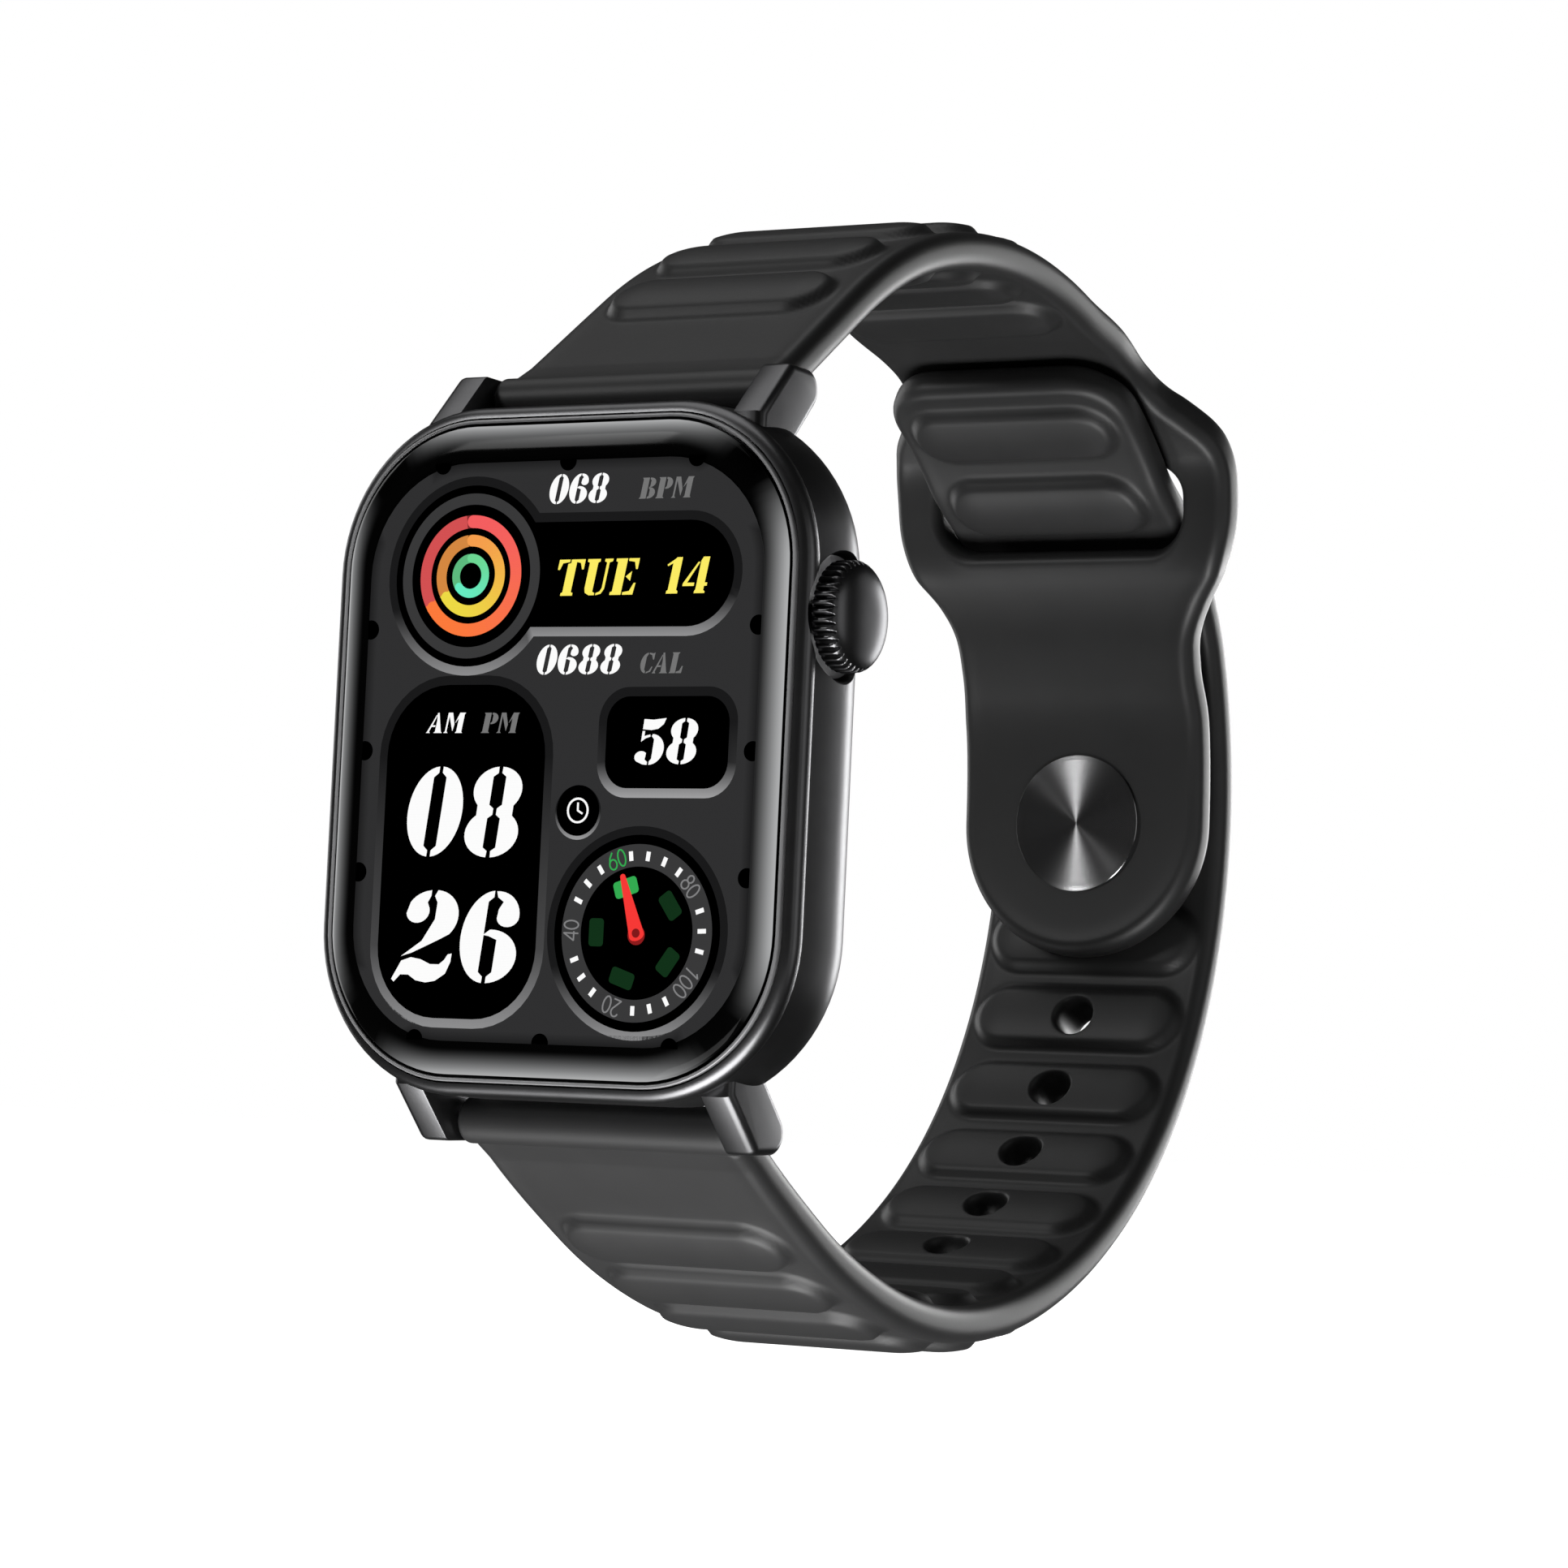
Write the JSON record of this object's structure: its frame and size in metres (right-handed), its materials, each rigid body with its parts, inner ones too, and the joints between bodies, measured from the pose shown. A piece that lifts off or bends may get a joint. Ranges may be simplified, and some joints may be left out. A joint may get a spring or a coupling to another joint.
{
  "type": "smartwatch",
  "caption": "Rectangular smartwatch with curved cover glass, fluted side crown and a closed soft ribbed strap with keeper slot and stud clasp.",
  "frame": {"origin": "centre of the closed strap loop, where the wrist goes, level with the middle of the case", "axes": "+X along the wrist and out through the crown, +Y from the display to the clasp, +Z towards the upper strap"},
  "size_m": [0.04, 0.081, 0.0808],
  "materials": {
    "case_metal": "dark gunmetal coating, satin",
    "bezel_metal": "dark gunmetal coating, polished edge",
    "cover_glass": "clear cover glass with a polished curved edge",
    "adhesive": "black elastic seal",
    "display": "display panel, dark when off",
    "inner_metal": "bare sheet",
    "steel": "turned and brushed",
    "board": "green solder mask",
    "switch_plastic": "moulded",
    "cover_plastic": "fine satin moulding",
    "window": "dark polished window",
    "contact_gold": "gold plated",
    "silicone": "matte black silicone",
    "stud_metal": "dark metal with a spun face"
  },
  "bodies": {
    "watch_head": {"case_body": "case_metal", "bezel_ring": "bezel_metal", "cover_glass": "cover_glass", "glass_gasket": "adhesive", "display_panel": "display", "inner_frame": "inner_metal", "battery": "inner_metal", "main_board": "board", "vibration_motor": "steel", "speaker": "switch_plastic", "sensor_board": "board", "back_gasket": "adhesive", "back_cover": "cover_plastic", "sensor_window": "window", "charging_contacts": "contact_gold", "back_screws": "steel", "crown_tube": "steel", "push_switch": "switch_plastic", "spring_bar_upper": "steel", "spring_bar_lower": "steel"},
    "crown_slider": {"switch_plunger": "switch_plastic", "stem_clip": "steel"},
    "crown": {"crown_cap": "case_metal", "crown_stem": "steel", "crown_seal": "adhesive"},
    "upper_band": {"strap_upper": "silicone"},
    "clasp_band": {"strap_keeper": "silicone", "strap_tail": "silicone"},
    "lower_band": {"strap_lower": "silicone"},
    "tongue": {"strap_tongue": "silicone", "clasp_stud": "stud_metal"}
  },
  "joints": [
    {"name": "crown_press", "type": "slide", "parent": "watch_head", "child": "crown_slider", "axis": [-1, 0, 0], "range_m": [0, 0.0004], "stiffness_N_per_m": 3000, "springref_m": -0.0003},
    {"name": "crown_turn", "type": "hinge", "parent": "crown_slider", "child": "crown", "pos_m": [0, -0.035, 0.0091], "axis": [1, 0, 0], "continuous": true},
    {"name": "strap_swing", "type": "hinge", "parent": "watch_head", "child": "upper_band", "pos_m": [0, -0.0319, 0.0247], "axis": [1, 0, 0], "range_deg": [-5, 5], "stiffness_Nm_per_rad": 0.1},
    {"name": "upper_flex", "type": "hinge", "parent": "upper_band", "child": "clasp_band", "pos_m": [0, 0.00643, 0.0376], "axis": [1, 0, 0], "range_deg": [-3.4, 3.4], "stiffness_Nm_per_rad": 0.05},
    {"name": "lower_flex", "type": "hinge", "parent": "clasp_band", "child": "lower_band", "pos_m": [0, 0.00643, -0.0376], "axis": [1, 0, 0], "range_deg": [-3.4, 3.4], "stiffness_Nm_per_rad": 0.05},
    {"name": "tongue_release", "type": "hinge", "parent": "clasp_band", "child": "tongue", "pos_m": [0, 0.0325, 0.01313], "axis": [-1, 0, 0], "range_deg": [0, 9], "stiffness_Nm_per_rad": 0.02}
  ],
  "couplings": [
    {"joint": "upper_flex", "follows": "strap_swing", "ratio": -0.6568},
    {"joint": "lower_flex", "follows": "strap_swing", "ratio": 0.6568}
  ]
}
